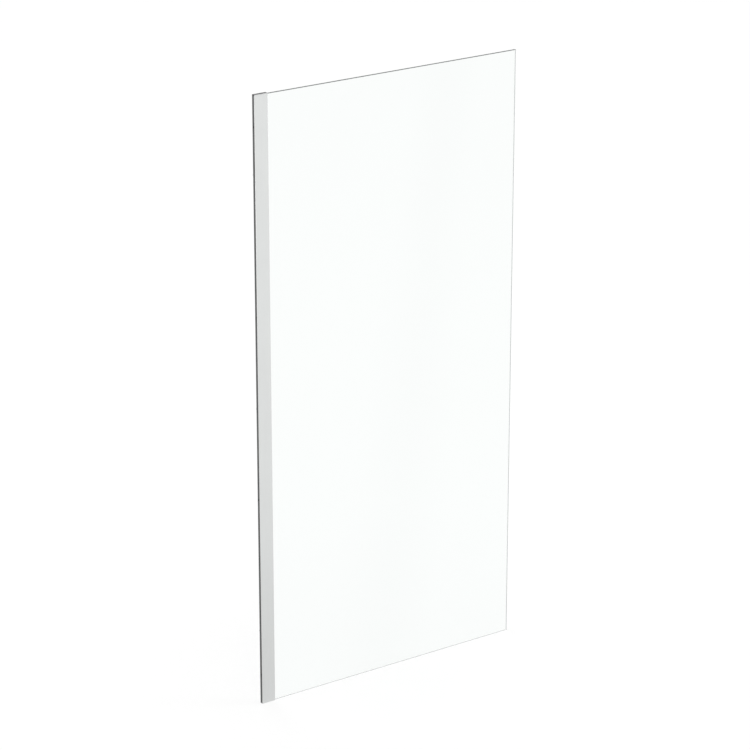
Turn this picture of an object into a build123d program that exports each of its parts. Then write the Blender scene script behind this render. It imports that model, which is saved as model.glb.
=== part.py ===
from build123d import *
import os

# Walk-in shower screen: a tall sheet of toughened glass held at one side by a
# two-part aluminium profile. The inner part, the wall channel, is screwed to the
# wall. The outer part, the glass profile, grips the glass and slides over the
# channel to take up a wall that is out of true, and three screws lock it there.
#
# X runs from the wall along the glass, Y through the screen from the photographed
# front (-Y) to the shower side (+Y), and Z up. The origin is at the foot of the
# channel's wall face, midway through the screen's thickness. All sizes are in
# millimetres, and the screen is drawn pushed fully in.

# Overall size
screen_width = 975.0  # from the wall to the free edge of the glass
screen_height = 2000.0  # from the floor to the top of the end cap

# Glass
glass_thickness = 8.0
glass_arris = 0.8  # polished chamfer along every edge
glass_corner_radius = 1.5

# Glass profile, the outer extrusion
profile_wall = 1.4
profile_edge_radius = 0.5
cross_wall = 1.6  # between the wall-side cavity and the glass seat
seat_depth = 10.3  # from the mouth of the glass seat to the cross wall
rib_height = 0.4  # ribs on the seat's walls that hold the gaskets
rib_width = 1.0
rib_inset = 5.0  # from the mouth to the rib's middle
port_bore = 3.0  # diameter of the screw port that takes the cap's pin
port_wall = 1.1
port_slit = 1.2

# Gaskets and glass blocks
gasket_thickness = 0.9
gasket_inset = 0.5  # how far the gasket stops short of the glass edge
gasket_play = 0.05  # between the rib and its groove
lip_length = 0.8  # bead that stands out of the mouth
lip_cover = 0.7  # how far the bead covers the end of the profile's wall
lip_bulge = 0.2  # how far the bead's face bows out
block_thickness = 1.0
block_length = 100.0
block_play = 0.2  # between a block and the seat's gaskets on each side
block_end_margin = 200.0  # from the glass's ends to the outer blocks' middles
block_names = ["lower", "middle", "upper"]

# Wall channel, the inner extrusion
channel_web = 1.6
channel_leg = 1.0
channel_side_play = 0.15  # between a leg and the glass profile, on each side
channel_end_play = 0.7  # between the legs' tips and the cross wall
channel_top_play = 0.2  # between the channel and the end cap
wall_hole_diameter = 5.0
wall_hole_count = 4
wall_hole_margin = 100.0  # from either end of the screen to the outer holes

# Adjustment and locking
adjustment = 25.0  # how far the glass profile can be drawn out
lock_end_margin = 250.0  # from either end of the screen to the outer screws
lock_names = ["lower", "middle", "upper"]
screw_diameter = 4.0
screw_head_diameter = 7.6
screw_head_height = 2.2
screw_head_round = 1.0
screw_socket_width = 2.5  # across the flats
screw_socket_depth = 1.3
screw_tip_out = 0.4  # how far the screw stands through the nut plate
screw_tip_chamfer = 0.4
slot_play = 0.3  # between the screw and its slot in the channel
hole_play = 0.2  # between the screw and the holes it is clamped through
thread_play = 0.05
leg_land = 1.0  # metal left between the slot and the leg's tip
nut_height = 16.0
nut_thickness = 2.5
nut_leg_play = 0.1  # between the plate and the channel's leg
nut_web_play = 0.9  # between the plate and the channel's web
nut_corner_radius = 1.0

# Screw seats and covers
seat_disc_thickness = 1.0  # plastic under the screw head
seat_rim_height = 0.8  # rim around the head, above the disc
seat_rim_wall = 0.75
head_play = 0.2  # between the screw head and the rim
cover_wall = 0.75
cover_play = 0.1  # between the cover and the seat's rim
cover_head_play = 0.2  # between the cover and the screw head
cover_roof = 0.9
cover_round = 1.6
cover_wall_margin = 1.0  # between the cover and the wall's plane

# End cap
cap_thickness = 2.4
cap_pin_length = 12.0
cap_pin_play = 0.05
cap_pin_chamfer = 0.4
cap_edge_round = 0.4

# Worked out from the sizes above
seat_gap = glass_thickness + 2 * gasket_thickness
profile_depth = seat_gap + 2 * profile_wall
profile_height = screen_height - cap_thickness
shower_face = profile_depth / 2
inner_face = seat_gap / 2

channel_depth = seat_gap - 2 * channel_side_play
leg_inner_face = channel_depth / 2 - channel_leg

rim_inner_radius = screw_head_diameter / 2 + head_play
rim_outer_radius = rim_inner_radius + seat_rim_wall
cover_inner_radius = rim_outer_radius + cover_play
cover_radius = cover_inner_radius + cover_wall
lock_x = cover_wall_margin + cover_radius
nut_width = 2 * (lock_x - channel_web - nut_web_play)

slot_radius = screw_diameter / 2 + slot_play
leg_reach = lock_x + adjustment + slot_radius + leg_land
cross_wall_x = leg_reach + channel_end_play
seat_floor_x = cross_wall_x + cross_wall
profile_width = seat_floor_x + seat_depth
port_radius = port_bore / 2 + port_wall
port_x = cross_wall_x - port_bore / 2

glass_edge_x = seat_floor_x + block_thickness
glass_width = screen_width - glass_edge_x
gasket_start_x = glass_edge_x + gasket_inset
rib_x = profile_width - rib_inset

head_seat_y = shower_face + seat_disc_thickness
head_top_y = head_seat_y + screw_head_height
nut_near_y = leg_inner_face - nut_leg_play
nut_far_y = nut_near_y - nut_thickness
screw_tip_y = nut_far_y - screw_tip_out


def spread(low, high, count):
    """Evenly spaced places from low to high."""
    step = (high - low) / max(count - 1, 1)
    return [low + step * i for i in range(count)]


wall_hole_heights = spread(wall_hole_margin, screen_height - wall_hole_margin, wall_hole_count)
lock_heights = spread(lock_end_margin, screen_height - lock_end_margin, len(lock_names))
block_heights = spread(block_end_margin, profile_height - block_end_margin, len(block_names))

os.makedirs("parts", exist_ok=True)


def finish(piece, name):
    """Label a finished piece and write it to its own file."""
    piece.part.label = name
    export_step(piece.part, f"parts/{name}.step")


# Wall channel: a U section, open away from the wall. The wall screws go through
# its web, and the locking screws run in the slots of its shower-side leg.
with BuildPart() as wall_channel:
    with BuildSketch(Plane.XY):
        with Locations((leg_reach / 2, 0)):
            Rectangle(leg_reach, channel_depth)
        with Locations((channel_web + leg_reach / 2, 0)):
            Rectangle(leg_reach, 2 * leg_inner_face, mode=Mode.SUBTRACT)
    extrude(amount=profile_height - channel_top_play)
    for height in wall_hole_heights:
        with Locations(Plane((0, 0, height), z_dir=(-1, 0, 0))):
            Hole(wall_hole_diameter / 2, depth=channel_web)
    for height in lock_heights:
        slot_middle = (lock_x + adjustment / 2, channel_depth / 2, height)
        slot_plane = Plane(slot_middle, x_dir=(1, 0, 0), z_dir=(0, 1, 0))
        with BuildSketch(slot_plane):
            SlotCenterToCenter(adjustment, 2 * slot_radius)
        extrude(amount=-channel_leg, mode=Mode.SUBTRACT)
finish(wall_channel, "wall_channel")


# Glass profile: one extrusion with a cavity for the wall channel, a cross wall
# with a screw port, and a seat for the glass whose ribs hold the gaskets.
with BuildPart() as glass_profile:
    with BuildSketch(Plane.XY):
        with Locations((profile_width / 2, 0)):
            RectangleRounded(profile_width, profile_depth, profile_edge_radius)
        Rectangle(2 * cross_wall_x, seat_gap, mode=Mode.SUBTRACT)
        with Locations((profile_width, 0)):
            Rectangle(2 * seat_depth, seat_gap, mode=Mode.SUBTRACT)
        for side in (-1, 1):
            with Locations((rib_x, side * (inner_face - rib_height / 2))):
                Rectangle(rib_width, rib_height)
        with Locations((port_x, 0)):
            Circle(port_radius)
            Circle(port_bore / 2, mode=Mode.SUBTRACT)
            Rectangle(port_radius, port_slit, align=(Align.MAX, Align.CENTER), mode=Mode.SUBTRACT)
    extrude(amount=profile_height)
    for height in lock_heights:
        with Locations(Plane((lock_x, shower_face, height), z_dir=(0, 1, 0))):
            Hole(screw_diameter / 2 + hole_play, depth=profile_wall)
finish(glass_profile, "glass_profile")


# Glass: a flat sheet with its corners just eased and its edges chamfered.
with BuildPart() as glass_panel:
    glass_middle = (glass_edge_x + glass_width / 2, glass_thickness / 2, profile_height / 2)
    with BuildSketch(Plane(glass_middle, x_dir=(1, 0, 0), z_dir=(0, -1, 0))):
        RectangleRounded(glass_width, profile_height, glass_corner_radius)
    extrude(amount=glass_thickness)
    chamfer(glass_panel.faces().filter_by(Axis.Y).edges(), glass_arris)
finish(glass_panel, "glass_panel")


def make_gasket(side):
    """A strip between the glass and one wall of its seat, grooved over the wall's
    rib, with a bead that covers part of the wall's end. Side is -1 at the front
    and 1 at the shower side."""
    wall_y = side * inner_face
    glass_y = side * glass_thickness / 2
    groove_y = wall_y - side * (rib_height + gasket_play)
    groove_half = rib_width / 2 + gasket_play
    with BuildPart() as gasket:
        with BuildSketch(Plane.XY):
            with BuildLine():
                bead_root = (profile_width, wall_y + side * lip_cover)
                bead_tip = (profile_width + lip_length, glass_y)
                Polyline(
                    bead_tip,
                    (gasket_start_x, glass_y),
                    (gasket_start_x, wall_y),
                    (rib_x - groove_half, wall_y),
                    (rib_x - groove_half, groove_y),
                    (rib_x + groove_half, groove_y),
                    (rib_x + groove_half, wall_y),
                    (profile_width, wall_y),
                    bead_root,
                )
                SagittaArc(bead_root, bead_tip, -side * lip_bulge)
            make_face()
        extrude(amount=profile_height)
    return gasket


finish(make_gasket(-1), "front_gasket")
finish(make_gasket(1), "rear_gasket")

# Glass blocks: packers that keep the glass edge off the cross wall.
for name, height in zip(block_names, block_heights):
    with BuildPart() as glass_block:
        with BuildSketch(Plane.XY.offset(height - block_length / 2)):
            with Locations((seat_floor_x + block_thickness / 2, 0)):
                Rectangle(block_thickness, seat_gap - 2 * block_play)
        extrude(amount=block_length)
    finish(glass_block, f"{name}_glass_block")

# End cap: a plate over the profile and the glass in it, on a pin in the screw port.
with BuildPart() as top_cap:
    with BuildSketch(Plane.XY.offset(profile_height)):
        with Locations((profile_width / 2, 0)):
            RectangleRounded(profile_width, profile_depth, profile_edge_radius)
    extrude(amount=cap_thickness)
    fillet(top_cap.faces().sort_by(Axis.Z)[-1].edges(), cap_edge_round)
    with BuildSketch(Plane.XY.offset(profile_height)):
        with Locations((port_x, 0)):
            Circle(port_bore / 2 - cap_pin_play)
    extrude(amount=-cap_pin_length)
    chamfer(top_cap.faces().sort_by(Axis.Z)[0].edges(), cap_pin_chamfer)
finish(top_cap, "top_cap")


def across(y, height):
    """The plane of a locking screw at this depth, facing the shower side."""
    return Plane((lock_x, y, height), x_dir=(1, 0, 0), z_dir=(0, 1, 0))


# Locking sets: each is a threaded plate inside the channel, a screw through the
# slot, a seat under the screw head, and a cover that snaps over the seat's rim.
for name, height in zip(lock_names, lock_heights):
    with BuildPart() as nut_plate:
        with BuildSketch(across(nut_far_y, height)):
            RectangleRounded(nut_width, nut_height, nut_corner_radius)
            Circle(screw_diameter / 2 + thread_play, mode=Mode.SUBTRACT)
        extrude(amount=nut_thickness)
    finish(nut_plate, f"{name}_nut_plate")

    with BuildPart() as lock_screw:
        with BuildSketch(across(screw_tip_y, height)):
            Circle(screw_diameter / 2)
        extrude(amount=head_seat_y - screw_tip_y)
        chamfer(lock_screw.faces().sort_by(Axis.Y)[0].edges(), screw_tip_chamfer)
        with BuildSketch(across(head_seat_y, height)):
            Circle(screw_head_diameter / 2)
        extrude(amount=screw_head_height)
        fillet(lock_screw.faces().sort_by(Axis.Y)[-1].edges(), screw_head_round)
        with BuildSketch(across(head_top_y, height)):
            RegularPolygon(screw_socket_width / 2, 6, major_radius=False)
        extrude(amount=-screw_socket_depth, mode=Mode.SUBTRACT)
    finish(lock_screw, f"{name}_lock_screw")

    with BuildPart() as screw_seat:
        with BuildSketch(across(shower_face, height)):
            Circle(rim_outer_radius)
        extrude(amount=seat_disc_thickness + seat_rim_height)
        with BuildSketch(across(head_seat_y, height)):
            Circle(rim_inner_radius)
        extrude(amount=seat_rim_height, mode=Mode.SUBTRACT)
        with BuildSketch(across(shower_face, height)):
            Circle(screw_diameter / 2 + hole_play)
        extrude(amount=seat_disc_thickness, mode=Mode.SUBTRACT)
    finish(screw_seat, f"{name}_screw_seat")

    with BuildPart() as screw_cover:
        pocket_depth = head_top_y + cover_head_play - shower_face
        with BuildSketch(across(shower_face, height)):
            Circle(cover_radius)
        extrude(amount=pocket_depth + cover_roof)
        fillet(screw_cover.faces().sort_by(Axis.Y)[-1].edges(), cover_round)
        with BuildSketch(across(shower_face, height)):
            Circle(cover_inner_radius)
        extrude(amount=pocket_depth, mode=Mode.SUBTRACT)
    finish(screw_cover, f"{name}_screw_cover")

print(f"profile {profile_width:.1f} x {profile_depth:.1f}, glass {glass_width:.1f} x {profile_height:.1f}")
print("wall holes at", [round(height, 1) for height in wall_hole_heights])
print("locking screws at", [round(height, 1) for height in lock_heights], "and x", round(lock_x, 2))
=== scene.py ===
# %% [markdown]
# A walk-in shower screen, dressed in Blender.
#
# The real thing is one tall sheet of clear toughened glass. A two-part aluminium
# profile holds it at the wall: the inner part is screwed to the wall, and the outer
# part grips the glass and slides over the inner one. The CAD model comes first, as a
# fixed frame, because every surface made here has to sit where its solid sits. It
# could be modelled again by eye, but then nothing would prove that it still fits.

import bmesh
import bpy
import numpy as np
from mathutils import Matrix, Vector
from mathutils.geometry import tessellate_polygon


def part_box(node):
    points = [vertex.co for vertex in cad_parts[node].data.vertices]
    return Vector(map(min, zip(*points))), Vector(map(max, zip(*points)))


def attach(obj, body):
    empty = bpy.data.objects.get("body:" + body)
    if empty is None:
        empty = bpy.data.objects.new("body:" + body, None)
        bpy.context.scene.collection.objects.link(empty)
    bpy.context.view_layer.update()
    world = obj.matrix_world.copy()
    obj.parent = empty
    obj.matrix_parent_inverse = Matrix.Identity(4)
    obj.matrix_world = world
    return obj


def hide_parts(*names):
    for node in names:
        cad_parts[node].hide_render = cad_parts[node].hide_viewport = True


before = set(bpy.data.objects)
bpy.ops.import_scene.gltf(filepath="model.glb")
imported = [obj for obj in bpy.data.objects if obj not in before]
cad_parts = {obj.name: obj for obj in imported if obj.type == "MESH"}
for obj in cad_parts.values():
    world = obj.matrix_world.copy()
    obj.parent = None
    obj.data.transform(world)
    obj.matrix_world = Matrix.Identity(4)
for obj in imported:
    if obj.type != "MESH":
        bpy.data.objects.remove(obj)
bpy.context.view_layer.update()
scene = bpy.context.scene
mm = 0.001

# %% [markdown]
# The camera. A long lens from about nine and a half metres keeps the screen's
# uprights nearly parallel, as a catalogue picture does. Its place was worked out from
# the straight edges of the glass and the profile, so that nothing has to be nudged
# by eye afterwards: it looks down by about twenty degrees and comes from the wall
# side of the screen.

# %% Camera
camera_data = bpy.data.cameras.new("picture_camera")
camera_data.lens = 148.13
camera_data.sensor_width = 36.0
camera_data.clip_start, camera_data.clip_end = 0.1, 200.0
camera = bpy.data.objects.new("picture_camera", camera_data)
look_down, heading = np.radians([20.237, -34.713])
camera.location = (-4.7534, -7.4962, 4.3843)
camera.rotation_euler = (np.pi / 2 - look_down, 0.0, heading)
scene.collection.objects.link(camera)
scene.camera = camera
scene.view_settings.view_transform = "Standard"
print("camera", [round(v, 3) for v in camera.location])

# %% [markdown]
# Helpers for shader nodes. Every material below is a small network, and writing it
# by hand takes three lines for each node. The first helper adds one node, sets its
# options, and feeds its sockets with either a plain value or another node's output,
# so a finish reads as a short list of steps. Sums and ramps come up most, so each of
# them has a helper of its own.

# %% Node helpers
def feed(tree, node, values):
    """Give each socket a link to another node's output, or a plain value."""
    for socket, value in dict(values).items():
        if isinstance(value, bpy.types.NodeSocket):
            tree.links.new(value, node.inputs[socket])
        else:
            node.inputs[socket].default_value = value


def put(tree, kind, values=(), **options):
    """Add a shader node: options are its own settings, values feed its sockets."""
    node = tree.nodes.new("ShaderNode" + kind)
    for option, value in options.items():
        setattr(node, option, value)
    feed(tree, node, values)
    return node


def calc(tree, operation, *values, clamp=False):
    """The output of one Math node on the given values."""
    return put(tree, "Math", dict(enumerate(values)), operation=operation,
               use_clamp=clamp).outputs[0]


def ramp(tree, value, start, end, low=0.0, high=1.0, **options):
    """A number that goes from start to end as the value goes from low to high."""
    return put(tree, "MapRange", {"Value": value, "From Min": low, "From Max": high,
                                  "To Min": start, "To Max": end}, **options).outputs[0]


def new_material(name):
    """A material with an empty network and its output node."""
    material = bpy.data.materials.new(name)
    material.use_nodes = True
    material.node_tree.nodes.clear()
    return material, material.node_tree, put(material.node_tree, "OutputMaterial")


def ways_of_seeing(tree):
    """Three masks: what the camera sees plainly, through glass, and in a mirror.

    All are 0 for light that has already been scattered, so they never light the object.
    A ray through glass counts as glossy too, so the last mask leaves those out.
    """
    rays = put(tree, "LightPath").outputs
    first = calc(tree, "LESS_THAN", rays["Diffuse Depth"], 0.5)
    mirrored = calc(tree, "SUBTRACT", rays["Is Glossy Ray"], rays["Is Transmission Ray"],
                    clamp=True)
    return [calc(tree, "MULTIPLY", mask, first)
            for mask in (rays["Is Camera Ray"], rays["Is Transmission Ray"], mirrored)]


def weighed(tree, masks, weights):
    """The sum of each mask times its weight."""
    total = 0.0
    for mask, weight in zip(masks, weights):
        total = calc(tree, "MULTIPLY_ADD", mask, weight, total)
    return total


# %% [markdown]
# The studio. The surround is plain white to the camera, to mirrors and to whatever is
# seen through glass, where a strength of one is white. The light that falls on the
# screen is separate: an even, softer surround and three soft boxes, so a colour comes
# out about as it is written.
#
# The floor is white to the camera too, but it keeps a share of its real shading, most near the foot
# of the screen, and with it the soft shadow there. Metal and glass mirror a floor with painted
# shade: it is a little darker close by, where the screen would keep some light off it, with a soft
# dark stripe painted where a gap between two front lamps would fall.

# %% World
world = bpy.data.worlds.new("studio")
scene.world = world
world.use_nodes = True
sky = world.node_tree
sky.nodes.clear()
room_light, white = 0.66, 1.0
seen = weighed(sky, ways_of_seeing(sky), (1.0, 1.0, 1.0))
strength = ramp(sky, seen, room_light, white)
surround = put(sky, "Background", {"Color": (1, 1, 1, 1), "Strength": strength})
sky.links.new(surround.outputs[0], put(sky, "OutputWorld").inputs[0])
print("surround lights at", room_light)

# %% Floor
floor_half, floor_drop = 60.0, 0.5 * mm
corners = np.array([(-1, -1), (1, -1), (1, 1), (-1, 1)]) * floor_half
floor_mesh = bpy.data.meshes.new("studio_floor")
floor_mesh.from_pydata([(x, y, -floor_drop) for x, y in corners], [], [(0, 1, 2, 3)])
floor = bpy.data.objects.new("studio_floor", floor_mesh)
scene.collection.objects.link(floor)

material, tree, output = new_material("studio_floor")
# Near and far are distances from a point between the screen's two lower corners. The
# stripe runs square to its heading, and its middle is that far from the origin.
foot, near, far = (0.45, 0.0, 0.0), 0.1, 1.4
mirrored_near, mirrored_far = 0.80, 1.01
share_near, share_far, share_through = 0.70, 0.88, 0.97
camera_glow, through_glow, paint_white = 1.06, 1.0, 0.9
where = put(tree, "TexCoord").outputs["Object"]
apart = put(tree, "VectorMath", {0: where, 1: foot}, operation="DISTANCE").outputs["Value"]
# Painted shade: what metal and glass mirror is painted darker near the foot of the screen and along
# a soft stripe.
mirrored_glow = ramp(tree, apart, mirrored_near, mirrored_far, near, far)
camera_share = ramp(tree, apart, share_near, share_far, near, far)
gap_heading, gap_middle, gap_half, gap_depth = np.radians(37.7), 0.36, 0.22, 0.25
gap_across = (np.cos(gap_heading), np.sin(gap_heading), 0.0)
across = put(tree, "VectorMath", {0: where, 1: gap_across},
             operation="DOT_PRODUCT").outputs["Value"]
aside = calc(tree, "ABSOLUTE", calc(tree, "SUBTRACT", across, gap_middle))
painted_gap_shade = ramp(tree, aside, gap_depth, 0.0, 0.0, gap_half, interpolation_type="SMOOTHSTEP")
mirrored_glow = calc(tree, "SUBTRACT", mirrored_glow, painted_gap_shade)
seen = ways_of_seeing(tree)
share = weighed(tree, seen, (camera_share, share_through, 1.0))
brightness = weighed(tree, seen, (camera_glow, through_glow, mirrored_glow))
paint = put(tree, "BsdfDiffuse", {"Color": (paint_white, paint_white, paint_white, 1)})
glow = put(tree, "Emission", {"Color": (1, 1, 1, 1), "Strength": brightness})
mix = put(tree, "MixShader", {0: share, 1: paint.outputs[0], 2: glow.outputs[0]})
tree.links.new(mix.outputs[0], output.inputs["Surface"])
floor_mesh.materials.append(material)
print("floor", 2 * floor_half, "m across")

# %% Soft boxes
def soft_box(name, place, aim, width, height, watts):
    """A rectangular lamp at a place, turned to face the aim point."""
    lamp = bpy.data.lights.new(name, "AREA")
    lamp.shape, lamp.size, lamp.size_y, lamp.energy = "RECTANGLE", width, height, watts
    box = bpy.data.objects.new(name, lamp)
    box.location = place
    box.rotation_euler = (Vector(aim) - Vector(place)).to_track_quat("-Z", "Y").to_euler()
    scene.collection.objects.link(box)
    return box


middle = (0.45, 0.0, 1.0)
soft_box("front_box", (-3.2, -5.2, 2.6), middle, 3.0, 2.2, 90)
soft_box("side_box", (4.2, -2.6, 4.2), middle, 2.0, 2.4, 60)
soft_box("back_box", (1.2, 4.8, 3.6), middle, 2.4, 1.8, 50)

# %% [markdown]
# Finishes. Several of them share the same small effects, so each effect is a node
# group that is built once: the fine lines that a die leaves along an extrusion, the
# cloudy wear that hands and cloths leave, the grain of a moulded surface, and the
# rings that a lathe leaves. A group only gives numbers that change over the surface;
# the shader itself stays in each material, where its plain values can be read.

# %% Group helpers
def new_group(name, measure, *results):
    """A group that takes a place and one measure, and gives the named results."""
    group = bpy.data.node_groups.new(name, "ShaderNodeTree")
    group.interface.new_socket("Vector", in_out="INPUT", socket_type="NodeSocketVector")
    group.interface.new_socket(measure, in_out="INPUT", socket_type="NodeSocketFloat")
    for label in results:
        group.interface.new_socket(label, in_out="OUTPUT", socket_type="NodeSocketFloat")
    entry, leave = (group.nodes.new("NodeGroup" + end) for end in ("Input", "Output"))
    print("group", name, "takes", measure.lower(), "and gives", *results)
    return group, entry.outputs, leave.inputs


def use_group(tree, group, where, per_metre):
    """Use a group at a place, with its measure, and return its outputs."""
    node = put(tree, "Group", node_tree=group)
    feed(tree, node, {0: where, 1: per_metre})
    return node.outputs


# %% Die lines
# The noise is squeezed along Z, so it reads as lines that run that way.
die_lines, entry, leave = new_group("die_lines", "Lines per metre", "Lines")
shrink_along = (1.0, 1.0, 0.006)
drawn_out = put(die_lines, "VectorMath", {0: entry[0], 1: shrink_along}, operation="MULTIPLY")
streaks = put(die_lines, "TexNoise", {"Vector": drawn_out.outputs[0], "Scale": entry[1],
                                      "Detail": 4.0, "Roughness": 0.7})
lines = ramp(die_lines, streaks.outputs["Fac"], 0.0, 1.0, 0.3, 0.7)
die_lines.links.new(lines, leave["Lines"])

# %% Cloudy wear
wear, entry, leave = new_group("cloudy_wear", "Patches per metre", "Cloud")
cloud = put(wear, "TexNoise", {"Vector": entry[0], "Scale": entry[1], "Detail": 5.0,
                               "Roughness": 0.55, "Distortion": 0.6})
wear.links.new(ramp(wear, cloud.outputs["Fac"], 0.0, 1.0, 0.32, 0.68), leave["Cloud"])

# %% Moulded grain
grain, entry, leave = new_group("moulded_grain", "Grains per metre", "Height", "Tone")
cells = put(grain, "TexVoronoi", {"Vector": entry[0], "Scale": entry[1], "Randomness": 1.0},
            feature="SMOOTH_F1").outputs["Distance"]
speckle = put(grain, "TexNoise", {"Vector": entry[0], "Scale": entry[1],
                                  "Detail": 3.0}).outputs["Fac"]
grain.links.new(calc(grain, "MULTIPLY", cells, speckle), leave["Height"])
grain.links.new(speckle, leave["Tone"])

# %% Turned rings
# The height is folded to the lowest screw's own stretch, so one sine serves them all.
lock_x = 6.6 * mm
lock_heights = np.linspace(250, 1750, 3) * mm
turned_rings, entry, leave = new_group("turned_rings", "Rings per metre", "Rings")
place = put(turned_rings, "SeparateXYZ", {0: entry[0]}).outputs
lowest, half_pitch = float(lock_heights[0]), float(lock_heights[1] - lock_heights[0]) / 2
folded = calc(turned_rings, "WRAP", place["Z"], lowest + half_pitch, lowest - half_pitch)
rise = calc(turned_rings, "SUBTRACT", folded, lowest)
reach = calc(turned_rings, "SUBTRACT", place["X"], lock_x)
spoke = put(turned_rings, "CombineXYZ", {"X": reach, "Z": rise}).outputs[0]
radius = put(turned_rings, "VectorMath", {0: spoke}, operation="LENGTH").outputs["Value"]
turns = calc(turned_rings, "MULTIPLY", radius, entry[1])
wave = calc(turned_rings, "SINE", calc(turned_rings, "MULTIPLY", turns, 2 * np.pi))
turned_rings.links.new(ramp(turned_rings, wave, 0.0, 1.0, -1.0, 1.0), leave["Rings"])
print("one group serves all", len(lock_heights), "screws")

# %% [markdown]
# A finish starts in the same way each time: the place on the piece in metres, and the number that
# each face carries. It is above 0 on roundings and chamfers, where most finishes paint a highlight,
# and below 0 where a finish paints shade. Then come two mixes, one for the colour and one for the
# roughness, and a bump that is no deeper than the real marks, a few hundredths of a millimetre.

# %% Finish helpers
finishes = {}


def surface(name):
    """A new finish: its network, the place on the piece, and the edge number."""
    material, tree, output = new_material(name)
    finishes[name] = material
    where = put(tree, "TexCoord").outputs["Object"]
    edge = put(tree, "Attribute", attribute_name="edge", attribute_type="GEOMETRY").outputs["Fac"]
    print("finish", name)
    return tree, output, where, edge


def blend(tree, amount, first, second):
    """A colour that goes from the first to the second as the amount goes from 0 to 1."""
    first, second = (value if isinstance(value, bpy.types.NodeSocket) else (*value, 1.0)
                     for value in (first, second))
    return put(tree, "Mix", {0: amount, 6: first, 7: second}, data_type="RGBA").outputs[2]


def sized(tree, value, factor):
    """A number times a factor."""
    return calc(tree, "MULTIPLY", value, factor)


def mottled(tree, where, pattern, share, patches):
    """A tone from 0 to 1: a share of the given pattern, and the rest cloudy wear."""
    cloud = use_group(tree, wear, where, per_metre=patches)["Cloud"]
    return calc(tree, "ADD", sized(tree, pattern, share), sized(tree, cloud, 1.0 - share),
                clamp=True)


def shade(tree, output, color, roughness, height=None, depth=0.02 * mm, **plain):
    """The shader: linked colour and roughness, a bump, and plain values."""
    shader = put(tree, "BsdfPrincipled", {"Base Color": color, "Roughness": roughness})
    for label, value in plain.items():
        shader.inputs[label.replace("_", " ")].default_value = value
    if height is not None:
        bump = put(tree, "Bump", {"Height": height, "Distance": depth, "Strength": 1.0})
        tree.links.new(bump.outputs[0], shader.inputs["Normal"])
    tree.links.new(shader.outputs[0], output.inputs["Surface"])
    return shader


# %% [markdown]
# The two aluminium finishes. The outer profile is satin anodised: light, silky, with hardly visible
# lines along its length. Its roundings are a touch brighter as a painted highlight, and the one lip
# that lies against the wall behind is painted dark as shade. The channel inside it is left as it
# came from the press, duller, with heavier lines and cloudy patches. Its dark grey colour is
# painted shade, and its drilled holes are painted nearly black as shade. Both are metals, so their
# colour is the tint of what they mirror, and the roughness does most of the work.

# %% Satin aluminium
tree, output, where, edge = surface("satin_aluminium")
lines = use_group(tree, die_lines, where, per_metre=1400.0)["Lines"]
tone = mottled(tree, where, lines, share=0.6, patches=7.0)
color = blend(tree, tone, (0.752, 0.766, 0.759), (0.797, 0.811, 0.804))
# Painted highlight: roundings and chamfers are painted lighter.
color = blend(tree, sized(tree, edge, 0.6), color, (0.88, 0.888, 0.884))
# Painted shade: faces with an edge number below 0, the lip against the wall, are painted dark.
color = blend(tree, sized(tree, edge, -1.0), color, (0.20, 0.205, 0.20))
shade(tree, output, color, ramp(tree, tone, 0.44, 0.34), lines, 0.012 * mm, Metallic=1.0)

# %% Mill aluminium
tree, output, where, edge = surface("mill_aluminium")
lines = use_group(tree, die_lines, where, per_metre=700.0)["Lines"]
tone = mottled(tree, where, lines, share=0.5, patches=16.0)
# Painted shade: the channel's dark grey colour stands for the shade it lies in, inside the profile.
color = blend(tree, tone, (0.105, 0.105, 0.108), (0.175, 0.175, 0.178))
# Painted highlight: roundings and chamfers are painted lighter.
color = blend(tree, sized(tree, edge, 0.5), color, (0.34, 0.34, 0.345))
# Painted shade: the bores, with edge number -1, are painted nearly black.
color = blend(tree, sized(tree, edge, -1.0), color, (0.01, 0.01, 0.01))
shade(tree, output, color, ramp(tree, tone, 0.62, 0.46), lines, 0.03 * mm, Metallic=1.0)

# %% [markdown]
# The glass. It mirrors a little and lets the rest through, with the bend of ordinary
# soda-lime glass. A sheet this clear shows its colour only along its edges, where the
# light has come a long way, so the edges and chamfers get a deep green-black tint of
# their own, as far as their edge number says, and the faces stay almost white. Light
# from the lamps goes straight through to the floor, or a clear sheet would throw a
# black shadow.

# %% Clear glass
tree, output, where, edge = surface("clear_glass")
cloud = use_group(tree, wear, where, per_metre=5.0)["Cloud"]
body = blend(tree, cloud, (0.973, 0.992, 0.983), (0.977, 0.996, 0.987))
color = blend(tree, edge, body, (0.006, 0.020, 0.014))
rough = ramp(tree, cloud, 0.0, 0.012)
glass = shade(tree, output, color, rough, Metallic=0.0, IOR=1.5, Transmission_Weight=1.0)
passed_on = put(tree, "BsdfTransparent", {"Color": (0.88, 0.91, 0.895, 1.0)})
shadow_ray = put(tree, "LightPath").outputs["Is Shadow Ray"]
pane = put(tree, "MixShader", {0: shadow_ray, 1: glass.outputs[0], 2: passed_on.outputs[0]})
tree.links.new(pane.outputs[0], output.inputs["Surface"])

# %% [markdown]
# The soft and moulded parts. The gaskets are a grey soft plastic with a slight sheen.
# The end cap has the fine matt grain of a spark-eroded mould: its top is painted nearly black as
# shade, and its rim is silver, like the profile that it closes. The packers and washers are
# plainer, and the round covers are silver too, with a soft gloss.

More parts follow.
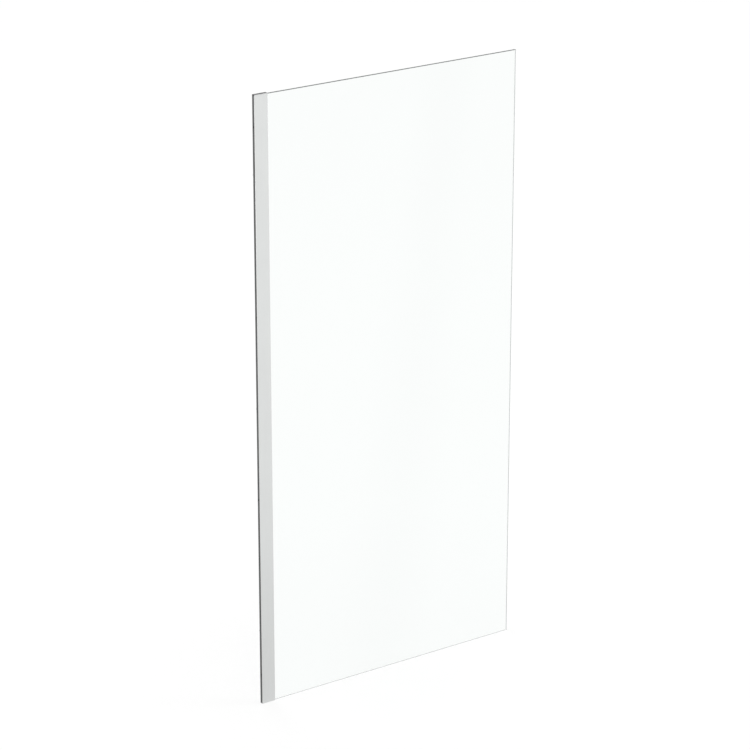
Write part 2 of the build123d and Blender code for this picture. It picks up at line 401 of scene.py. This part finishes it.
# %% Plastics
def moulded(name, dark, light, matt, smooth, grains, depth, rim=None, rim_share=0.25, **plain):
    """A moulded plastic: grain in tone, roughness and bump, and a colour for its edges, lighter as
    a painted highlight unless a rim colour is given.
    """
    tree, output, where, edge = surface(name)
    pattern = use_group(tree, grain, where, grains)
    tone = mottled(tree, where, pattern["Tone"], share=0.6, patches=30.0)
    # Painted highlight: edges are painted 15 percent lighter than the light tone.
    painted_highlight = tuple(min(1.0, 1.15 * part) for part in light)
    color = blend(tree, sized(tree, edge, rim_share), blend(tree, tone, dark, light),
                  blend(tree, tone, *rim) if rim else painted_highlight)
    rough = ramp(tree, tone, matt, smooth)
    shade(tree, output, color, rough, pattern["Height"], depth, Metallic=0.0, **plain)


moulded("gasket", (0.60, 0.62, 0.62), (0.72, 0.74, 0.74), matt=0.55, smooth=0.42,
        grains=1500.0, depth=0.01 * mm, Specular_IOR_Level=0.4)
moulded("packer_plastic", (0.76, 0.76, 0.74), (0.86, 0.86, 0.84), matt=0.5, smooth=0.35,
        grains=1800.0, depth=0.02 * mm)
moulded("seat_plastic", (0.66, 0.67, 0.67), (0.75, 0.76, 0.76), matt=0.45, smooth=0.3,
        grains=2200.0, depth=0.01 * mm)
moulded("cover_plastic", (0.62, 0.63, 0.63), (0.70, 0.71, 0.71), matt=0.28, smooth=0.16,
        grains=5200.0, depth=0.004 * mm, Coat_Weight=0.5)
# Painted shade: the cap's near-black colours stand for shade on its top; the rim colour is the
# silver of its sides.
moulded("cap_plastic", (0.040, 0.041, 0.041), (0.062, 0.063, 0.063), matt=0.62, smooth=0.46,
        grains=2600.0, depth=0.02 * mm,
        rim=((0.68, 0.69, 0.69), (0.76, 0.77, 0.77)), rim_share=1.0)

# %% [markdown]
# The fixings. The screws are turned stainless steel, so their heads carry fine rings
# round the axis. The threaded plates are zinc plated, with the patchy, faintly
# crystalline look that plating has.

# %% Steels
tree, output, where, edge = surface("stainless_steel")
turned = use_group(tree, turned_rings, where, per_metre=9000.0)["Rings"]
tone = mottled(tree, where, turned, share=0.5, patches=160.0)
color = blend(tree, tone, (0.60, 0.60, 0.59), (0.74, 0.74, 0.73))
# Painted highlight: the head's roundings are painted lighter.
color = blend(tree, sized(tree, edge, 0.5), color, (0.86, 0.86, 0.85))
shade(tree, output, color, ramp(tree, tone, 0.34, 0.2), turned, 0.006 * mm, Metallic=1.0)

tree, output, where, edge = surface("plated_steel")
cells = put(tree, "TexVoronoi", {"Vector": where, "Scale": 900.0}).outputs["Distance"]
tone = mottled(tree, where, cells, share=0.5, patches=120.0)
color = blend(tree, tone, (0.56, 0.565, 0.55), (0.70, 0.70, 0.68))
# Painted highlight: chamfers are painted lighter.
color = blend(tree, sized(tree, edge, 0.4), color, (0.80, 0.80, 0.78))
shade(tree, output, color, ramp(tree, tone, 0.42, 0.28), cells, 0.008 * mm, Metallic=1.0)
print(len(finishes), "finishes")

# %% [markdown]
# Shapes. Nearly all of this object is a section carried along a straight line: the
# two aluminium profiles come out of a die, the gaskets too, and the glass is an
# outline with a thickness. So the first tool turns a list of corners into a closed
# outline with real roundings. Bevel modifiers could do the same, but a worked-out
# arc has the exact radius, and no face is spent on the flats.

# %% Outlines
def unit(vectors):
    """Each vector divided by its own length."""
    return vectors / np.linalg.norm(vectors, axis=-1, keepdims=True)


def rounded_outline(corners, steps=5):
    """A closed outline whose corners are arcs that touch both sides.

    Each row of corners is x, y and a radius. A corner turns by the angle between its
    two sides. Its arc starts radius times the tangent of half that angle before the
    corner, its centre is one radius to the inner side of that start, and its points
    come from turning the spoke from centre to start in equal steps. A radius of 0
    keeps the corner as one point. Returns the points, and for each the word whether
    the side that leaves it is part of an arc.
    """
    corners = np.asarray(corners, float)
    place, radius = corners[:, :2], corners[:, 2:]
    inward = unit(place - np.roll(place, 1, axis=0))
    onward = np.roll(inward, -1, axis=0)
    cross = inward[:, 0] * onward[:, 1] - inward[:, 1] * onward[:, 0]
    turn = np.arctan2(cross, (inward * onward).sum(1))[:, None]
    start = place - inward * radius * np.tan(abs(turn) / 2)
    left = np.stack([-inward[:, 1], inward[:, 0]], axis=1)
    centre = start + left * radius * np.sign(turn)
    angle = turn * np.linspace(0, 1, steps + 1)
    cos, sin = np.cos(angle), np.sin(angle)
    spoke = (start - centre)[:, None, :]
    turned = np.stack([spoke[..., 0] * cos - spoke[..., 1] * sin,
                       spoke[..., 0] * sin + spoke[..., 1] * cos], axis=-1)
    step = np.arange(steps + 1)
    kept = (radius > 0) | (step == 0)
    arced = (radius > 0) & (step < steps)
    return (centre[:, None, :] + turned)[kept], arced[kept]


def outward(outline):
    """For each point, the direction that moves both its sides out by one.

    It is the sum of the two sides' normals over one plus their dot product, which is
    the mitre of a picture frame.
    """
    side = unit(np.roll(outline, -1, axis=0) - outline)
    normal = np.stack([side[:, 1], -side[:, 0]], axis=1)
    before = np.roll(normal, 1, axis=0)
    return (normal + before) / (1 + (normal * before).sum(1, keepdims=True))


def arc_rows(centre, radius, start, end, count):
    """Points on a circle from one angle to another, as corner rows with no rounding."""
    angle = np.radians(np.linspace(start, end, count))
    return np.stack([centre[0] + radius * np.cos(angle),
                     centre[1] + radius * np.sin(angle), 0 * angle], axis=1)


round_square = [(0, 0, 0.1), (1, 0, 0.1), (1, 1, 0.1), (0, 1, 0.1)]
print("a square with round corners has", len(rounded_outline(round_square)[0]), "points")

# %% [markdown]
# A shell gathers the points and faces of one piece. Rings of points become bands of faces, and a
# flat end becomes one face, or triangles where holes go through it. When the shell is done it is
# checked: every edge must have two faces, and the normals are turned outwards. Each face also
# carries its edge number, up to 1 where it is a rounding or a chamfer and below 0 where it gets
# painted shade. With it a finish can paint a highlight or shade there.

# %% Shell
class Shell:
    """Points and faces of one piece, before they become a mesh."""

    def __init__(self):
        self.places, self.faces, self.smooth, self.edge = [], [], [], []
        self.count = 0

    def place(self, points):
        """Take in an array of points and return their numbers in the same layout."""
        points = np.asarray(points, float)
        numbers = self.count + np.arange(points[..., 0].size).reshape(points.shape[:-1])
        self.places.append(points.reshape(-1, 3))
        self.count += numbers.size
        return numbers

    def add(self, faces, smooth=False, edge=0.0):
        """Take in faces of equal size, with flags for all of them or for each."""
        faces = np.asarray(faces)
        self.faces += faces.tolist()
        self.smooth += np.broadcast_to(smooth, len(faces)).tolist()
        self.edge += np.broadcast_to(edge, len(faces)).tolist()

    def band(self, rings, smooth=False, edge=0.0, kept=True):
        """Quads between each closed ring of numbers and the next."""
        after = np.roll(rings, -1, axis=1)
        quads = np.stack([rings[:-1], after[:-1], after[1:], rings[1:]], axis=-1)
        smooth, edge, kept = (np.broadcast_to(flags, quads.shape[:2])
                              for flags in (smooth, edge, kept))
        self.add(quads[kept], smooth[kept], edge[kept])

    def lid(self, ring, holes=()):
        """One flat face, or triangles round the holes in it."""
        if not len(holes):
            self.add([ring])
            return
        points = np.concatenate(self.places)
        loops = [np.asarray(ring)] + [np.asarray(hole) for hole in holes]
        numbers = np.concatenate(loops)
        triangles = tessellate_polygon([[Vector(points[n]) for n in loop] for loop in loops])
        self.add(numbers[np.array(triangles)])

    def fan(self, ring, tip, smooth=False, edge=0.0):
        """Triangles from a closed ring to one point."""
        point = int(self.place(np.asarray(tip)[None])[0])
        after = np.roll(ring, -1)
        self.add(np.stack([ring, after, np.full_like(ring, point)], axis=-1), smooth, edge)

    def piece(self, name, body, slot, *nodes):
        """Make the object, check it, and let it ride on its body in its nodes' place."""
        mesh = bpy.data.meshes.new(name)
        mesh.from_pydata(np.concatenate(self.places).tolist(), [], self.faces)
        mesh.polygons.foreach_set("use_smooth", self.smooth)
        mesh.attributes.new("edge", "FLOAT", "FACE").data.foreach_set("value", self.edge)
        work = bmesh.new()
        work.from_mesh(mesh)
        bmesh.ops.recalc_face_normals(work, faces=work.faces)
        loose = sum(len(edge.link_faces) != 2 for edge in work.edges)
        volume = work.calc_volume(signed=True)
        work.to_mesh(mesh)
        work.free()
        mesh.materials.append(finishes[slot])
        made = bpy.data.objects.new(name, mesh)
        scene.collection.objects.link(made)
        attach(made, body)
        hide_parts(*nodes)
        print(f"{name}: {len(mesh.polygons)} faces, {volume * 1e6:.2f} cm3, {loose} open edges")
        return made


# %% [markdown]
# An extrusion is one outline carried up, with its saw-cut ends drawn in a little, as
# a deburred end is. Holes are part of the same shell: a wall that is drilled becomes
# a flat face with rings cut out of it, and each ring is joined to the one on the
# other side of the wall. A boolean would leave slivers that catch the light; this
# way the rim of each hole has its own small chamfer.

# %% Extrusion
# Faces given this edge number come out darker in their finish: it is painted shade.
end_chamfer, painted_shade_edge = 0.25 * mm, -0.8


def carried(outline, levels, insets, axis=2):
    """The outline at each level, drawn in by that level's inset, as rings of points.

    Point k of ring m is outline k minus inset m times its outward direction, at
    level m along the axis.
    """
    rings = outline - np.asarray(insets)[:, None, None] * outward(outline)
    levels = np.broadcast_to(np.asarray(levels)[:, None], rings.shape[:2])
    return np.stack(np.insert([rings[..., 0], rings[..., 1]], axis, levels, axis=0), axis=-1)


def side_at(outline, point):
    """The number of the side that passes closest to a point."""
    side = np.roll(outline, -1, axis=0) - outline
    along = ((point - outline) * side).sum(1) / (side ** 2).sum(1)
    nearest = outline + side * np.clip(along, 0, 1)[:, None]
    return int(np.argmin(np.linalg.norm(point - nearest, axis=1)))


def hole_rings(centre, through, radius, chamfer, stretch=0.0, count=40):
    """Four rings through a wall: a chamfer, the bore, and a chamfer at the far side.

    A ring is a circle whose left and right halves are moved apart by the stretch,
    which makes a slot of it. Through is the vector from one face to the other.
    """
    angle = 2 * np.pi * (np.arange(count) + (0.5 if stretch else 0.0)) / count
    depth = np.linalg.norm(through)
    along = np.cross(through / depth, (0, 0, 1))
    radii = np.array([radius + chamfer, radius, radius, radius + chamfer])[:, None]
    deep = np.array([0, chamfer / depth, 1 - chamfer / depth, 1])[:, None, None]
    flat = radii * np.cos(angle) + stretch / 2 * np.sign(np.cos(angle))
    rise = radii * np.sin(angle)
    return centre + flat[..., None] * along + rise[..., None] * np.array([0, 0, 1]) + deep * through


def extrude(outline, arced, low, high, chamfer, drilled=(), bore_edge=1.0, painted_shade=False):
    """A shell from an outline carried straight up, with holes through some walls.

    Drilled is a list of walls, each the list of hole rings that go through it. The bores carry an
    edge number of their own, and so do the sides marked for painted shade.
    """
    shell = Shell()
    levels = [low, low + chamfer, high - chamfer, high]
    rings = shell.place(carried(outline, levels, [chamfer, 0, 0, chamfer]))
    whole = np.ones(len(outline), bool)
    for holes in drilled:
        numbers = [shell.place(rows) for rows in holes]
        for face in (0, -1):
            wall = side_at(outline, holes[0][face].mean(0)[:2])
            whole[wall] = False
            after = (wall + 1) % len(outline)
            frame_of_wall = [rings[1][wall], rings[1][after], rings[2][after], rings[2][wall]]
            shell.lid(frame_of_wall, [rows[face] for rows in numbers])
        for rows in numbers:
            shell.band(rows, smooth=[[False], [True], [False]], edge=bore_edge)
    shell.band(rings[0:2], smooth=arced, edge=1.0)
    shell.band(rings[1:3], smooth=arced, edge=np.where(painted_shade, painted_shade_edge, arced * 1.0), kept=whole)
    shell.band(rings[2:4], smooth=arced, edge=1.0)
    shell.lid(rings[0])
    shell.lid(rings[3])
    return shell


# %% [markdown]
# The wall channel is the inner profile. It is a U that opens away from the wall:
# four holes through its web take the wall screws, and three slots in the leg on the
# shower side let the locking screws travel when the glass is lined up.

# %% Wall channel
low, high = (np.array(corner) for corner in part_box("wall_channel"))
web, leg = 1.6 * mm, 1.0 * mm
reach, half = high[0], high[1]
travel, slot_radius, slot_chamfer = 25.0 * mm, 2.3 * mm, 0.15 * mm
wall_holes = np.linspace(100, 1900, 4) * mm
wall_hole_radius, wall_hole_chamfer = 2.5 * mm, 0.35 * mm
outer_round, inner_round = 0.2 * mm, 0.35 * mm
channel_outline, channel_arcs = rounded_outline([
    (0, -half, outer_round), (reach, -half, outer_round),
    (reach, leg - half, outer_round), (web, leg - half, inner_round),
    (web, half - leg, inner_round), (reach, half - leg, outer_round),
    (reach, half, outer_round), (0, half, outer_round)])
web_holes = [hole_rings(np.array([0, 0, z]), np.array([web, 0, 0]),
                        wall_hole_radius, wall_hole_chamfer) for z in wall_holes]
leg_slots = [hole_rings(np.array([lock_x + travel / 2, half, z]), np.array([0, -leg, 0]),
                        slot_radius, slot_chamfer, travel) for z in lock_heights]
# Painted shade: a bore edge of -1 paints the channel's holes and slots nearly black.
channel = extrude(channel_outline, channel_arcs, low[2], high[2], end_chamfer,
                  [web_holes, leg_slots], bore_edge=-1.0)
channel.piece("channel_extrusion", "wall_channel", "mill_aluminium", "wall_channel")

# %% [markdown]
# The glass profile is the outer one, the part that shows. One section holds three things: the
# cavity that slides over the channel, a cross wall with a round port for the end cap's pin, and the
# seat for the glass with a rib on each wall that keeps the gasket from creeping out. The end of its
# wall on the far side is the lip painted dark as shade.

# %% Glass profile
low, high = (np.array(corner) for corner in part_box("glass_profile"))
width, half = high[0], high[1]
wall, inner = 1.4 * mm, 4.9 * mm
cross_wall, seat_floor = 35.6 * mm, 37.2 * mm
rib_near, rib_far, rib_top = 42.0 * mm, 43.0 * mm, 4.5 * mm
port, bore, slit = 2.6 * mm, 1.5 * mm, 0.6 * mm
port_middle = (cross_wall - bore, 0.0)
meets_wall = np.degrees(np.arccos(bore / port))
port_mouth, bore_mouth = (180 - np.degrees(np.arcsin(slit / r)) for r in (port, bore))
face_round, inside_round, fine = 0.5 * mm, 0.15 * mm, 0.1 * mm


def seat_wall(side):
    """The corners along one wall of the seat, from its mouth to its floor."""
    return np.array([(width, side * inner, inside_round), (rib_far, side * inner, fine),
                     (rib_far, side * rib_top, fine), (rib_near, side * rib_top, fine),
                     (rib_near, side * inner, fine), (seat_floor, side * inner, inside_round)])


profile_outline, profile_arcs = rounded_outline(np.concatenate([
    [(0, -half, face_round), (width, -half, face_round)],
    seat_wall(-1), seat_wall(1)[::-1],
    [(width, half, face_round), (0, half, face_round)],
    [(0, inner, inside_round), (cross_wall, inner, inside_round)],
    arc_rows(port_middle, port, meets_wall, port_mouth, 12),
    arc_rows(port_middle, bore, bore_mouth, -bore_mouth, 25),
    arc_rows(port_middle, port, -port_mouth, -meets_wall, 12),
    [(cross_wall, -inner, inside_round), (0, -inner, inside_round)]]))
screw_hole_radius, screw_hole_chamfer, clear = 2.2 * mm, 0.15 * mm, 0.01 * mm
screw_holes = [hole_rings(np.array([lock_x, half, z]), np.array([0, -wall, 0]),
                          screw_hole_radius, screw_hole_chamfer) for z in lock_heights]
# The end of the far wall, on the wall side, gets painted shade.
both_ends = np.stack([profile_outline, np.roll(profile_outline, -1, axis=0)])
at_the_wall = both_ends[..., 0].max(0) < face_round + clear
on_far_side = both_ends[..., 1].min(0) > inner - clear
profile = extrude(profile_outline, profile_arcs, low[2], high[2], end_chamfer,
                  [screw_holes], painted_shade=at_the_wall & on_far_side)
profile.piece("profile_extrusion", "glass_screen", "satin_aluminium", "glass_profile")

# %% [markdown]
# The glass is an outline with a thickness. Its four corners are just eased and every
# edge has a polished chamfer, which is what draws the thin grey line round the sheet.
# The line is darkest along the top and faint along the foot. This is painted light: the foot's tint
# is made faint where the white floor would shine in, so the edge number follows the way that each
# side faces.

# %% Glass sheet
low, high = (np.array(corner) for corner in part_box("glass_panel"))
arris, corner_round = 0.8 * mm, 1.5 * mm
glass_outline, glass_arcs = rounded_outline([
    (low[0], low[2], corner_round), (high[0], low[2], corner_round),
    (high[0], high[2], corner_round), (low[0], high[2], corner_round)], steps=8)
sheet = Shell()
rings = sheet.place(carried(glass_outline, [low[1], low[1] + arris, high[1] - arris, high[1]],
                            [arris, 0, 0, arris], axis=1))
side = unit(np.roll(glass_outline, -1, axis=0) - glass_outline)
# Painted light: the edge tint differs by side, faint on the foot where the floor's light would
# shine in, full on the top.
foot_tint_and_painted_light, upright_tint, top_tint, arris_share = 0.2, 0.87, 1.0, 0.97
tint_and_painted_light = np.interp(-side[:, 0], [-1, 0, 1], [foot_tint_and_painted_light, upright_tint, top_tint])
sheet.band(rings, smooth=glass_arcs, edge=np.outer([arris_share, 1.0, arris_share], tint_and_painted_light))
sheet.lid(rings[0])
sheet.lid(rings[3])
sheet.piece("glass_sheet", "glass_screen", "clear_glass", "glass_panel")

# %% [markdown]
# The gaskets are two soft strips that fill the gap between glass and profile. Each
# has a groove that clips over the profile's rib, and a bead that laps over the end of
# the profile's wall, so that no raw edge shows beside the glass.

# %% Gaskets
def gasket(side, name, node):
    """One strip, on the -Y side for side -1. Its outline goes round the other way there."""
    low, high = (np.array(corner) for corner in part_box(node))
    glass_face, groove, play = 4.02 * mm, 4.45 * mm, 0.05 * mm
    bead_root, bead_tip, bow = inner + 0.7 * mm, high[0], 0.1 * mm
    tip_round, bow_round = 0.12 * mm, 0.3 * mm
    strip = np.array([
        (low[0], glass_face, fine), (bead_tip, glass_face, tip_round),
        (bead_tip - bow, (glass_face + bead_root) / 2, bow_round),
        (width, bead_root, fine), (width, inner, play),
        (rib_far + play, inner, play), (rib_far + play, groove, play),
        (rib_near - play, groove, play), (rib_near - play, inner, play),
        (low[0], inner, fine)]) * (1, side, 1)
    outline, arcs = rounded_outline(strip[::side], steps=4)
    shell = extrude(outline, arcs, low[2], high[2], fine)
    return shell.piece(name, "glass_screen", "gasket", node)


gasket(-1, "front_seal", "front_gasket")
gasket(1, "rear_seal", "rear_gasket")

# %% [markdown]
# The end cap closes the profile's top and covers the end of the glass seat. Below it is a pin that
# is pushed into the screw port. Its upper edge is rounded, so the rings there follow a quarter
# circle: at each angle round the edge the inset is one minus the cosine, and the drop below the top
# one minus the sine. The edge number fades from the silver rim to the top, which is painted dark as
# shade, and the rim is painted dark as shade where it lies against the wall.

# %% End cap
low, high = (np.array(corner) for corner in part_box("top_cap"))
plate_foot, edge_round = high[2] - 2.4 * mm, 0.4 * mm
plate_outline, plate_arcs = rounded_outline([
    (0, -half, face_round), (width, -half, face_round),
    (width, half, face_round), (0, half, face_round)])
quarter = np.radians(np.linspace(0, 90, 6))
levels = np.concatenate([[plate_foot, plate_foot + fine],
                         high[2] - edge_round * (1 - np.sin(quarter))])
insets = np.concatenate([[fine, 0], edge_round * (1 - np.cos(quarter))])
cap = Shell()
plate = cap.place(carried(plate_outline, levels, insets))
angle = np.linspace(0, 2 * np.pi, 32, endpoint=False)
pin_radius, pin_chamfer = 1.45 * mm, 0.4 * mm
pin_levels = np.array([plate_foot, low[2] + pin_chamfer, low[2]])[:, None]
pin_radii = np.array([pin_radius, pin_radius, pin_radius - pin_chamfer])[:, None]
pin = cap.place(np.stack(np.broadcast_arrays(port_middle[0] + pin_radii * np.cos(angle),
                                             pin_radii * np.sin(angle), pin_levels), axis=-1))
rounding = np.arange(len(levels) - 1)[:, None] >= 2
rim = np.concatenate([[1.0, 1.0], np.linspace(0.9, 0.1, len(quarter) - 1)])
side = unit(np.roll(plate_outline, -1, axis=0) - plate_outline)
# Painted shade: the side of the rim that faces the wall is painted dark.
wall_side_painted_shade = np.clip(-side[:, 1], 0, 1)
cap.band(plate, smooth=plate_arcs | rounding, edge=np.outer(rim, 1 - wall_side_painted_shade))
cap.lid(plate[-1])
cap.lid(plate[0], [pin[0]])
cap.band(pin, smooth=True)
cap.lid(pin[-1])
cap.piece("end_cap", "glass_screen", "cap_plastic", "top_cap")

# %% [markdown]
# The packers keep the edge of the glass off the aluminium. They are flat plastic
# strips with shallow grooves across them, so that they can be snapped to length.

# %% Packers
def packer(node):
    """A flat strip whose outline is drawn in a little at each groove."""
    low, high = (np.array(corner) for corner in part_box(node))
    clear = 0.03 * mm
    outline, arcs = rounded_outline([
        (low[0] + clear, low[1], fine), (high[0] - clear, low[1], fine),
        (high[0] - clear, high[1], fine), (low[0] + clear, high[1], fine)], steps=3)
    groove, depth, parts = 0.4 * mm, 0.12 * mm, 10
    middles = np.linspace(low[2], high[2], parts + 1)[1:-1]
    levels = (middles[:, None] + groove * np.array([-1, -0.5, 0.5, 1])).ravel()
    insets = np.tile([0, depth, depth, 0], len(middles))
    levels = np.concatenate([[low[2], low[2] + depth], levels, [high[2] - depth, high[2]]])
    insets = np.concatenate([[depth, 0], insets, [0, depth]])
    shell = Shell()
    rings = shell.place(carried(outline, levels, insets))
    shell.band(rings, edge=(insets[1:] + insets[:-1] > 0)[:, None] * 1.0)
    shell.lid(rings[0])
    shell.lid(rings[-1])
    name = node.replace("glass_block", "packer")
    return shell.piece(name, "glass_screen", "packer_plastic", node)


lock_height_of = dict(zip(("lower", "middle", "upper"), lock_heights))
for level in lock_height_of:
    packer(f"{level}_glass_block")

# %% [markdown]
# Turned pieces. The locking screws, their seats and the covers over them are all
# round about a line along Y, so each is a section swept in a circle. A section that
# ends on the line closes in a point at each end, and one that doesn't, like a
# washer's, joins its last ring to its first.

# %% Turned pieces
def swept(radius, depth, axis_x, axis_z, count=48):
    """Rings about a line along Y.

    Point k of ring m is at angle k: x is the axis plus radius times cosine, z the
    axis plus radius times sine, and y the depth. Radius may differ with the angle.
    """
    angle = np.linspace(0, 2 * np.pi, count, endpoint=False)
    radius = np.asarray(radius, float)
    radius = radius[:, None] if radius.ndim == 1 else radius
    depth = np.broadcast_to(np.asarray(depth, float)[:, None], (len(radius), count))
    across, up = radius * np.cos(angle), radius * np.sin(angle)
    return np.stack([axis_x + across, depth, axis_z + up], axis=-1)


def seat(node, z):
    """A plastic washer with a rim round the screw head: a closed section swept round."""
    low, high = (np.array(corner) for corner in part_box(node))
    rim, inside, bore = (high[0] - low[0]) / 2, 4.0 * mm, 2.2 * mm
    floor_y = low[1] + 1.0 * mm
    section, arcs = rounded_outline([
        (bore, low[1], fine), (rim, low[1], fine), (rim, high[1], 2 * fine),
        (inside, high[1], 2 * fine), (inside, floor_y, fine), (bore, floor_y, fine)], steps=3)
    shell = Shell()
    rings = shell.place(swept(section[:, 0], section[:, 1], lock_x, z))
    shell.band(np.vstack([rings, rings[:1]]), smooth=True, edge=arcs[:, None] * 1.0)
    return shell.piece(node.replace("screw_seat", "washer"), "glass_screen", "seat_plastic", node)


def cover(node, z):
    """A cap over the screw head: an open section from the axis, round and back to it."""
    low, high = (np.array(corner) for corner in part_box(node))
    outer, inside, roof, dome = (high[0] - low[0]) / 2, 4.85 * mm, 0.9 * mm, 1.6 * mm
    inner_roof, middle = high[1] - roof, 0.6 * mm
    section, arcs = rounded_outline([
        (middle, high[1], 0), (outer, high[1], dome), (outer, low[1], fine),
        (inside, low[1], fine), (inside, inner_roof, 3 * fine), (middle, inner_roof, 0)], steps=8)
    shell = Shell()
    rings = shell.place(swept(section[:, 0], section[:, 1], lock_x, z))
    shell.band(rings, smooth=True, edge=arcs[:-1, None] * 1.0)
    shell.fan(rings[0], (lock_x, high[1], z), smooth=True)
    shell.fan(rings[-1], (lock_x, inner_roof, z), smooth=True)
    name = node.replace("screw_cover", "dome_cover")
    return shell.piece(name, "glass_screen", "cover_plastic", node)


for level, z in lock_height_of.items():
    seat(f"{level}_screw_seat", z)
    cover(f"{level}_screw_cover", z)

# %% [markdown]
# The locking screw is one closed surface from its tip to the bottom of its socket. A
# thread is a radius that depends on the turn as well as on the depth: its height
# follows a triangle wave whose phase is the depth over the pitch minus the turn. The
# socket is a hexagon in polar form: half its width over the cosine of the angle to
# the nearest flat.

# %% Locking screws
def lock_screw(node, z, count=48):
    """Rings from the tip to the socket floor, closed at both ends by a point."""
    low, high = (np.array(corner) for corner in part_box(node))
    shank, head, under = 2.0 * mm, (high[0] - low[0]) / 2, 7.3 * mm
    pitch, thread, roundness, thread_rings = 0.7 * mm, 0.3 * mm, 0.8, 85
    tip_length, tip_inset = 0.5 * mm, 0.45 * mm
    turn = np.linspace(0, 1, count, endpoint=False)
    depth = np.linspace(low[1], under, thread_rings)
    phase = (depth[:, None] / pitch - turn) % 1.0
    tip = np.clip((depth - low[1]) / tip_length, 0, 1)[:, None]
    crest = shank - (1 - tip) * tip_inset
    rod = crest - thread * tip * abs(2 * phase - 1) ** roundness
    bend = np.radians(np.linspace(0, 90, 7))
    edge_round, head_chamfer = 1.0 * mm, 0.15 * mm
    head_radius = np.concatenate([[head - head_chamfer, head],
                                  head - edge_round * (1 - np.cos(bend))])
    head_depth = np.concatenate([[under, under + head_chamfer],
                                 high[1] - edge_round * (1 - np.sin(bend))])
    half_width, mouth, socket_floor = 1.25 * mm, 0.12 * mm, 1.3 * mm
    to_flat = (turn * 6 + 0.5) % 1.0 - 0.5
    hexagon = half_width / np.cos(np.radians(60) * to_flat)
    socket_scale = np.array([1.12, 1.0, 1.0, 0.55])[:, None]
    socket_depth = high[1] - np.array([0.0, mouth, socket_floor - 0.15 * mm, socket_floor])
    radius = np.concatenate([rod, np.repeat(head_radius[:, None], count, 1),
                             socket_scale * hexagon])
    depths = np.concatenate([depth, head_depth, socket_depth])
    shell = Shell()
    rings = shell.place(swept(radius, depths, lock_x, z, count))
    bands = np.arange(len(rings) - 1)
    flats = (bands == len(rod) - 1) | (bands >= len(rod) + len(head_radius) - 1)
    shell.band(rings, smooth=~flats[:, None], edge=((bands > len(rod)) & ~flats)[:, None] * 1.0)
    shell.fan(rings[0], (lock_x, low[1], z))
    shell.fan(rings[-1], (lock_x, high[1] - socket_floor, z))
    name = node.replace("lock_screw", "socket_screw")
    return shell.piece(name, "glass_screen", "stainless_steel", node)


def nut_plate(node, z, count=40):
    """The threaded plate inside the channel: a rounded outline with one hole."""
    low, high = (np.array(corner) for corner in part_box(node))
    corner, edge, bore_radius = 1.0 * mm, 0.2 * mm, 2.05 * mm
    outline, arcs = rounded_outline([
        (low[0], low[2], corner), (high[0], low[2], corner),
        (high[0], high[2], corner), (low[0], high[2], corner)])
    shell = Shell()
    rings = shell.place(carried(outline, [low[1], low[1] + edge, high[1] - edge, high[1]],
                                [edge, 0, 0, edge], axis=1))
    near, through = np.array([lock_x, low[1], z]), np.array([0, high[1] - low[1], 0])
    bore = shell.place(hole_rings(near, through, bore_radius, edge, count=count))
    shell.band(rings, smooth=arcs, edge=[[1.0], [0.0], [1.0]])
    shell.band(bore, smooth=[[False], [True], [False]], edge=[[1.0], [0.0], [1.0]])
    shell.lid(rings[0], [bore[0]])
    shell.lid(rings[-1], [bore[-1]])
    name = node.replace("nut_plate", "threaded_plate")
    return shell.piece(name, "glass_screen", "plated_steel", node)


for level, z in lock_height_of.items():
    lock_screw(f"{level}_lock_screw", z)
    nut_plate(f"{level}_nut_plate", z)
